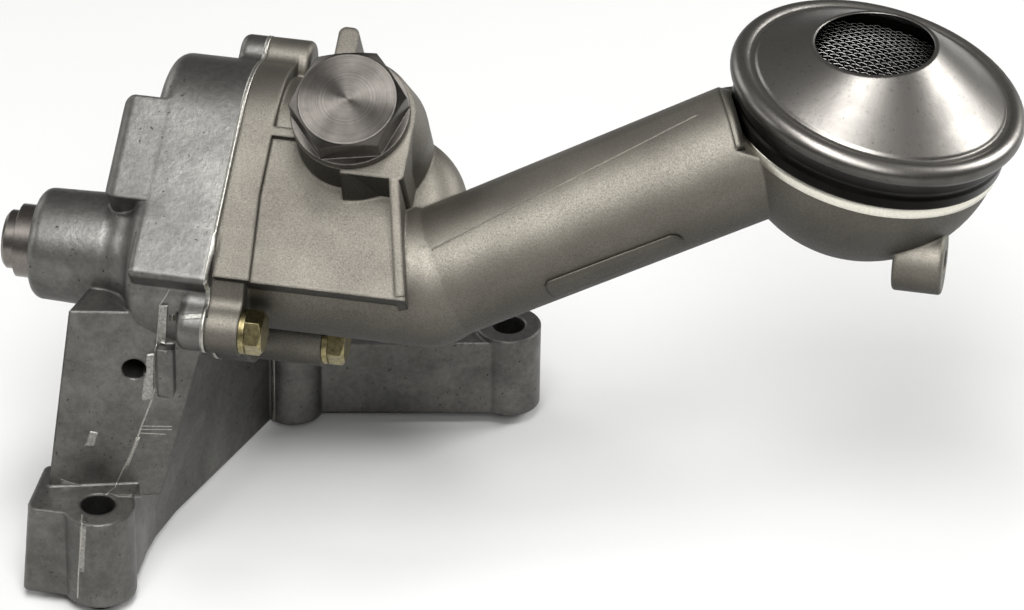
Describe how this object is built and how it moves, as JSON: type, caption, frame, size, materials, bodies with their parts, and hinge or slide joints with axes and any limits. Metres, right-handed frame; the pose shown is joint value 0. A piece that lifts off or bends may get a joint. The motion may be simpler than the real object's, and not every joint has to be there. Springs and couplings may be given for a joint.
{
  "type": "engine oil pump",
  "caption": "Chain-driven gear oil pump for a car engine, with relief valve, mounting feet and a suction tube that ends in a strainer.",
  "frame": {"origin": "bolt axis of the front foot, on the mounting face", "axes": "+X along the drive shaft from its driven end towards the strainer, +Y from the front foot to the back, +Z away from the engine's mounting face"},
  "size_m": [0.2559, 0.1244, 0.1495],
  "materials": {
    "die_cast_aluminium": "smooth die-cast",
    "sand_cast_aluminium": "matt, grainy sand-cast",
    "ground_steel": "ground",
    "gear_steel": "machined",
    "bearing_bronze": "bored",
    "spring_steel": "drawn wire",
    "turned_steel": "turned, fine rings on the end face",
    "soft_aluminium": "flat ring",
    "passivated_steel": "yellow-passivated",
    "black_steel": "blackened",
    "seal_rubber": "moulded",
    "pressed_sheet_steel": "pressed, dark and oiled",
    "mesh_wire": "woven"
  },
  "bodies": {
    "housing": {"pump_body": "die_cast_aluminium", "pump_cover": "sand_cast_aluminium", "idler_axle": "ground_steel", "front_shaft_bush": "bearing_bronze", "rear_shaft_bush": "bearing_bronze", "relief_spring": "spring_steel", "relief_plug": "turned_steel", "plug_sealing_ring": "soft_aluminium", "cover_bolts": "passivated_steel", "cover_bolt_washers": "passivated_steel", "long_cover_bolt": "passivated_steel", "cover_dowels": "ground_steel", "front_foot_sleeve": "black_steel", "outlet_seal": "seal_rubber", "strainer_cap": "pressed_sheet_steel", "strainer_mesh": "mesh_wire"},
    "drive": {"drive_shaft": "ground_steel", "drive_gear": "gear_steel", "drive_gear_key": "gear_steel"},
    "idler": {"idler_gear": "gear_steel", "idler_bush": "bearing_bronze"},
    "plunger": {"relief_plunger": "ground_steel"}
  },
  "joints": [
    {"name": "drive_spin", "type": "hinge", "parent": "housing", "child": "drive", "pos_m": [0, 0.036, 0.0805], "axis": [1, 0, 0], "continuous": true},
    {"name": "idler_spin", "type": "hinge", "parent": "housing", "child": "idler", "pos_m": [0, 0.06314, 0.09746], "axis": [1, 0, 0], "continuous": true},
    {"name": "relief_slide", "type": "slide", "parent": "housing", "child": "plunger", "axis": [0, -0.5299, 0.848], "range_m": [0, 0.006], "stiffness_N_per_m": 1500, "springref_m": -0.004, "deforming": ["relief_spring"]}
  ],
  "couplings": [
    {"joint": "idler_spin", "follows": "drive_spin", "ratio": -1}
  ]
}
